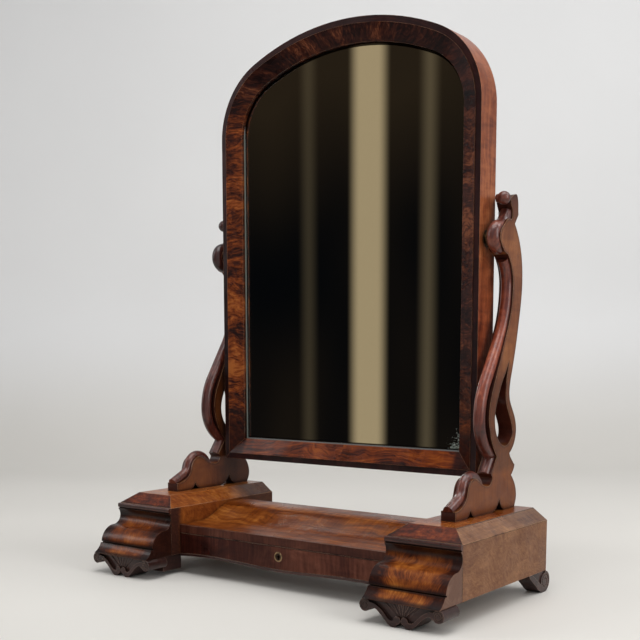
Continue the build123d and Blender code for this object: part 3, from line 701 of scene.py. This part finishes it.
give(ogee_wood, *both("ogee_block"))


def flame(graph, way):
    """Long soft plumes that follow the bent grain, and fine rays across them."""
    first, second, third = graph.split(way)
    bands = graph.noise(way, (8.0, 46.0, 46.0), detail=3.0, bend=0.7)
    rays = graph.noise(graph.join(second, first, third), (14.0, 420.0, 14.0), detail=3.0)
    return graph.swing(rays, 0.5, graph.swing(bands, 0.9))


platform_wood = timber(
    "platform_veneer",
    along("X"),
    [tone(52, 20, 7), tone(86, 40, 13), tone(114, 60, 21), tone(140, 82, 34), tone(166, 108, 54)],
    figure=flame,
    drift=0.016,
    drift_scale=8.0,
    streak=0.5,
    mottle=0.2,
    broad=(7.0, 30.0, 30.0),
    contrast=2.1,
    shades=[tint(upward, tone(238, 222, 196))],
    gloss=0.08,
    coat=0.08,
    coat_rough=0.18,
)
give(platform_wood, "platform_top")

# The drawer's front and the fascia over it, with a painted reflection: darker at the left, lighter
# towards the right
reflection_lighter_right = reaching("x", -0.12, 0.10)
fascia_height = reaching("z", drawer_seam - 0.0003, drawer_seam + 0.0004)

drawer_wood = timber(
    "drawer_veneer",
    along("Z"),
    [tone(22, 6, 5), tone(38, 14, 10), tone(58, 24, 17), tone(92, 46, 32)],
    contrast=2.0,
    streak=0.34,
    mottle=0.30,
    shades=[
        # Painted reflection: lighter towards the right
        recolour(
            reflection_lighter_right,
            [tone(46, 18, 14), tone(76, 37, 26), tone(102, 58, 43), tone(124, 78, 60)],
            0.9,
        ),
        recolour(fascia_height, [tone(40, 16, 13), tone(68, 35, 26), tone(96, 56, 42)]),
        lay(line_at("z", drawer_seam, 0.0016, forward), tone(12, 5, 5), 0.9),
    ],
    gloss=0.08,
    coat=0.08,
    worn_and_lit_tone=tone(158, 116, 92),
    wear_and_highlight=0.9,
    easing=0.0009,
)
give(drawer_wood, "drawer_front", "platform_fascia")

dark_wood = timber(
    "dark_mahogany",
    along("X"),
    [tone(26, 11, 9), tone(46, 24, 20), tone(72, 44, 37)],
    contrast=2.4,
    gloss=0.2,
    coat=0.25,
    worn_and_lit_tone=tone(140, 112, 98),
    wear_and_highlight=1.0,
    dirt_and_shade_reach=0.009,
    dirt_and_shade=0.95,
)
give(dark_wood, *both("front_foot", "rear_foot", "glue_block"), "apron_rail")


def reed_shade(graph):
    """Painted shade in fine reeds along the lip moulding, which are only drawn: 1 in each groove."""
    turn = graph.maths("MULTIPLY", graph.maths("SUBTRACT", graph.z, reed_start), 2 * math.pi / reed_pitch)
    return graph.maths("MULTIPLY", graph.between(graph.maths("SINE", turn), 0.55, 0.95), forward(graph))


lip_wood = timber(
    "lip_mahogany",
    along("X"),
    [tone(30, 11, 9), tone(54, 25, 20), tone(82, 44, 35)],
    # Painted shade in the drawn reeds
    shades=[lay(reed_shade, tone(12, 5, 4), 0.9)],
    polish=0.30,
    gloss=0.2,
    coat=0.3,
    worn_and_lit_tone=tone(98, 62, 48),
    wear_and_highlight=0.7,
    easing=0.0006,
)
give(lip_wood, *both("lip_moulding"))


def board_joints(graph):
    """1 along the two upright joints between the backboard's three boards."""
    return graph.between(graph.apart(graph.side, board_width / 2), 0.0011, 0.0005)


def board_tones(graph, way):
    """Each board of the back with a tone of its own."""
    across = graph.maths("ADD", graph.x, board_width / 2)
    number = graph.maths("FLOOR", graph.maths("DIVIDE", across, board_width))
    return graph.swing(graph.pick(graph.maths("ADD", number, 7.0)), 0.3)


boards = timber(
    "old_boards",
    along("Z"),
    [tone(66, 44, 27), tone(96, 68, 43), tone(124, 92, 60), tone(142, 110, 76)],
    figure=board_tones,
    fine=(3.0, 150.0, 150.0),
    broad=(1.6, 22.0, 22.0),
    ribbon=(4.0, 34.0, 34.0),
    streak=0.5,
    contrast=1.9,
    shades=[lay(board_joints, tone(22, 14, 9), 0.9)],
    polish=0.66,
    coat=0.0,
    wear_and_highlight=0.3,
    dirt_and_shade_tone=tone(40, 28, 19),
)
give(boards, "backboard")

pine = timber(
    "old_pine",
    along("X"),
    [tone(76, 52, 32), tone(108, 78, 49), tone(140, 106, 70)],
    contrast=1.8,
    polish=0.62,
    coat=0.0,
    wear_and_highlight=0.2,
    dirt_and_shade_tone=tone(60, 42, 28),
)
give(pine, "glass_packing", "drawer_back", "drawer_bottom", "platform_back_rail")
give(pine, *both("plinth_floor", "drawer_side", "drawer_runner"))


def old_metal(name, clean, tarnished, roughness, share, dish=None):
    """Metal with tarnish in patches and in its corners, and in a dish round the keyhole."""
    graph = Graph(name)
    patches = graph.noise(graph.place, 160.0, detail=5.0, rough=0.65)
    scratches = graph.noise(graph.place, (900.0, 60.0, 300.0), detail=2.0)
    eased, edge = graph.edges(0.0004)
    dull = graph.between(patches, 0.62 - share, 0.78 - share * 0.5)
    dull = graph.maths("MAXIMUM", dull, graph.between(graph.corners(0.003), 0.15, 0.6))
    dull = graph.maths("MULTIPLY", dull, graph.maths("MULTIPLY_ADD", edge, -0.7, 1.0))
    if dish:
        away = graph.distance(graph.x, graph.maths("SUBTRACT", graph.z, keyhole_z))
        dull = graph.maths("MAXIMUM", dull, graph.between(away, dish + 0.0006, dish))
    graph.set(Base_Color=graph.mix(dull, clean, tarnished))
    graph.set(Metallic=graph.maths("MULTIPLY_ADD", dull, -0.25, 1.0))
    graph.set(Roughness=graph.maths("MULTIPLY_ADD", dull, 0.28, roughness))
    graph.set(Normal=graph.bump(scratches, 0.00004, graph.bump(patches, 0.0001, eased)))
    return graph.material


brass = old_metal("brass", tone(152, 126, 94), tone(58, 43, 31), 0.34, 0.16, dish_radius)
give(brass, "escutcheon")
swivel_metal = old_metal("dark_brass", tone(120, 92, 58), tone(34, 28, 22), 0.34, 0.3)
give(swivel_metal, *both("swivel_pin", "swivel_socket"))
steel = old_metal("lock_steel", tone(150, 146, 140), tone(74, 62, 54), 0.38, 0.2)
give(steel, "drawer_lock")


def silvered_glass():
    """Clear plate, silvered on its back, where the silver has gone in specks in the lower right corner,
    with a pale grey-green line on its front along the edge in sight, neither silvered nor clear."""
    graph = Graph("silvered_glass")
    back = graph.between(graph.y, glass_back - 0.0009, glass_back - 0.0005)
    low_down = graph.between(graph.z, 0.275, 0.222)
    corner = graph.maths("MULTIPLY", low_down, graph.between(graph.x, 0.165, 0.218))
    specks = graph.noise(graph.place, 300.0, detail=3.0, rough=0.7)
    clouds = graph.noise(graph.place, 62.0, detail=3.0)
    limit = graph.maths("MULTIPLY_ADD", graph.maths("MULTIPLY", corner, clouds), -0.80, 0.80)
    fox = graph.between(specks, limit, graph.maths("ADD", limit, 0.15))
    # A pale grey-green line along the edge in sight, at the side and below
    beside = graph.between(graph.side, sight_x - 0.0035, sight_x - 0.0020)
    beside = graph.maths("MULTIPLY", beside, graph.between(graph.z, spring_z + 0.05, spring_z))
    below = graph.maths("MULTIPLY", graph.between(graph.z, sight_z + 0.0025, sight_z + 0.0010), 0.4)
    overlay = graph.maths("MAXIMUM", beside, below)
    clear = graph.maths("SUBTRACT", 1.0, overlay)
    silvered = graph.maths("MULTIPLY", back, clear)
    glassy = graph.maths("MULTIPLY", graph.maths("SUBTRACT", 1.0, back), clear)
    silver = graph.mix(fox, (0.90, 0.92, 0.90, 1.0), tone(104, 112, 102))
    colour = graph.mix(back, (0.93, 0.975, 0.95, 1.0), silver)
    rough = graph.maths("MAXIMUM", graph.maths("MULTIPLY", back, fox), overlay)
    graph.set(Base_Color=graph.mix(overlay, colour, tone(112, 122, 114)))
    graph.set(Metallic=silvered, Transmission_Weight=glassy, IOR=1.5)
    graph.set(Roughness=graph.maths("MULTIPLY", rough, 0.5))
    return graph.material


give(silvered_glass(), "mirror_glass")


def sweep(name, rows, columns, point, material):
    """A staged surface of rows by columns of points."""
    mesh = bpy.data.meshes.new(name)
    points = [point(i, j) for i in range(rows) for j in range(columns)]
    faces = [
        (i * columns + j, i * columns + j + 1, (i + 1) * columns + j + 1, (i + 1) * columns + j)
        for i in range(rows - 1)
        for j in range(columns - 1)
    ]
    mesh.from_pydata(points, [], faces)
    mesh.shade_smooth()
    mesh.materials.append(material)
    thing = bpy.data.objects.new(name, mesh)
    scene.collection.objects.link(thing)
    return thing


def paper_material(low, high):
    """Paper with a faint unevenness, of one tone on the floor and another up the wall."""
    graph = Graph("pale_paper")
    colour = graph.mix(graph.between(graph.z, 0.0, 0.5), low, high)
    shade = graph.between(graph.noise(graph.place, 1.3, detail=2.0), 0.3, 0.7, 0.97, 1.0)
    graph.set(Base_Color=graph.vector("MULTIPLY", colour, graph.join(shade, shade, shade)))
    graph.set(Roughness=0.6)
    return graph.material


# Floor that curves up into a pale wall behind the object, by distance from the camera and by height
yaw = math.radians(camera_yaw)
ahead = Vector((-math.sin(yaw), math.cos(yaw), 0.0))
aside = Vector((math.cos(yaw), math.sin(yaw), 0.0))
under_camera = Vector((camera_place[0], camera_place[1], 0.0))
paper_start = -1.6
paper_near = 0.6
paper_half_width = 4.0
paper_columns = 9
wall_distance = 3.9
wall_height = 3.4
bend_radius = 0.7
bend_steps = 12
bend_start = wall_distance - bend_radius
profile = [(paper_start, 0.0), (paper_near, 0.0), (bend_start, 0.0)]
for step in range(1, bend_steps + 1):
    angle = math.radians(90 * step / bend_steps)
    distance = bend_start + bend_radius * math.sin(angle)
    profile.append((distance, bend_radius - bend_radius * math.cos(angle)))
profile.append((wall_distance, wall_height))


def paper_point(i, j):
    distance, height = profile[i]
    offset = paper_half_width * (2 * j / (paper_columns - 1) - 1)
    spot = under_camera + ahead * distance + aside * offset
    return (spot.x, spot.y, height)


paper = paper_material(tone(215, 212, 206), tone(229, 229, 229))
sweep("paper", len(profile), paper_columns, paper_point, paper)

# A card that glows, outside the view and seen only in reflections: a painted reflection of a dark room,
# with its bands of light by left, right and share
card_left = -1.75
card_width = 1.5
card_height = 1.7
card_depth = -1.25
card_cells = 4
card_right = card_left + card_width
light_bands = ((-0.932, -0.824, 0.62), (-0.672, -0.640, 0.13), (-1.136, -1.100, 0.06))


def card_point(i, j):
    return (card_left + card_width * j / card_cells, card_depth, card_height * i / card_cells)


def reflection_card_material():
    """Painted reflection: nearly black, warmer above, with three soft upright bands of light, and pale at
    its edges.
    """
    graph = Graph("painted_reflection_card")
    drift = graph.noise(graph.place, (1.1, 1.0, 0.5), detail=2.0)
    upper = graph.between(graph.z, 0.75, 1.35)
    glow = graph.maths("MULTIPLY_ADD", upper, 0.5, graph.between(drift, 0.35, 0.75))
    colour = graph.mix(glow, tone(3, 5, 8), tone(40, 31, 22))
    for left, right, share in light_bands:
        band = graph.between(graph.x, left - 0.030, left + 0.022)
        band = graph.maths("MULTIPLY", band, graph.between(graph.x, right + 0.030, right - 0.022))
        colour = graph.mix(graph.maths("MULTIPLY", band, share), colour, tone(206, 180, 142))
    left_fade = graph.between(graph.x, card_left + 0.01, card_left + 0.31)
    right_fade = graph.between(graph.x, card_right - 0.01, card_right - 0.25)
    top_fade = graph.between(graph.z, card_height - 0.01, card_height - 0.36)
    middle = graph.maths("MULTIPLY", graph.maths("MULTIPLY", left_fade, right_fade), top_fade)
    colour = graph.mix(middle, tone(211, 212, 215), colour)
    graph.set(Base_Color=(0.0, 0.0, 0.0, 1.0), Roughness=1.0, Specular_IOR_Level=0.0)
    graph.set(Emission_Color=colour, Emission_Strength=1.0)
    return graph.material


card = sweep("painted_reflection_card", card_cells + 1, card_cells + 1, card_point, reflection_card_material())
card.visible_camera = False
card.visible_diffuse = False
card.visible_shadow = False


def soft_light(name, place, target, width, height, power):
    """A white soft box at place, pointed at target."""
    data = bpy.data.lights.new(name, "AREA")
    data.shape = "RECTANGLE"
    data.size = width
    data.size_y = height
    data.energy = power
    lamp = bpy.data.objects.new(name, data)
    lamp.location = place
    direction = Vector(target) - Vector(place)
    lamp.rotation_euler = direction.to_track_quat("-Z", "Y").to_euler()
    scene.collection.objects.link(lamp)
    return lamp


soft_light("overhead_light", (0.3, -0.3, 2.5), (0.0, 0.1, 0.3), 1.8, 1.8, 44.0)
soft_light("right_light", (2.6, 0.1, 1.3), (0.2, 0.0, 0.3), 1.2, 1.8, 26.0)
soft_light("left_light", (-2.0, -1.3, 1.5), (0.0, 0.0, 0.4), 0.5, 1.8, 15.0)
soft_light("wall_light", (1.9, 1.2, 2.6), (0.0, 2.6, 1.0), 1.8, 0.8, 29.0)
fill = soft_light("front_fill", (1.0, -3.2, 1.6), (0.0, 0.0, 0.4), 2.0, 1.6, 22.0)
fill.visible_glossy = False


def surroundings(colour, lighting, sight):
    """Plain surroundings that light the object with one strength and are seen, straight or by
    the glass, with another."""
    world = bpy.data.worlds.new("studio")
    world.use_nodes = True
    tree = world.node_tree
    tree.nodes.clear()
    paths = tree.nodes.new("ShaderNodeLightPath")
    seen = paths.outputs["Is Camera Ray"]
    for path in ("Is Glossy Ray", "Is Transmission Ray"):
        either = tree.nodes.new("ShaderNodeMath")
        either.operation = "MAXIMUM"
        tree.links.new(seen, either.inputs[0])
        tree.links.new(paths.outputs[path], either.inputs[1])
        seen = either.outputs[0]
    strength = tree.nodes.new("ShaderNodeMapRange")
    strength.inputs["To Min"].default_value = lighting
    strength.inputs["To Max"].default_value = sight
    tree.links.new(seen, strength.inputs["Value"])
    background = tree.nodes.new("ShaderNodeBackground")
    background.inputs["Color"].default_value = colour
    tree.links.new(strength.outputs[0], background.inputs["Strength"])
    output = tree.nodes.new("ShaderNodeOutputWorld")
    tree.links.new(background.outputs[0], output.inputs["Surface"])
    return world


scene.world = surroundings(tone(226, 227, 230), 0.12, 0.86)

# Camera
lens = bpy.data.cameras.new("camera")
lens.lens = camera_lens
lens.sensor_width = camera_sensor
lens.shift_y = camera_shift
lens.clip_start = 0.05
camera = bpy.data.objects.new("camera", lens)
turn = (
    Matrix.Rotation(yaw, 4, "Z")
    @ Matrix.Rotation(math.radians(90 + camera_pitch), 4, "X")
    @ Matrix.Rotation(math.radians(camera_roll), 4, "Z")
)
camera.matrix_world = Matrix.Translation(camera_place) @ turn
scene.collection.objects.link(camera)
scene.camera = camera
scene.view_settings.view_transform = "Standard"
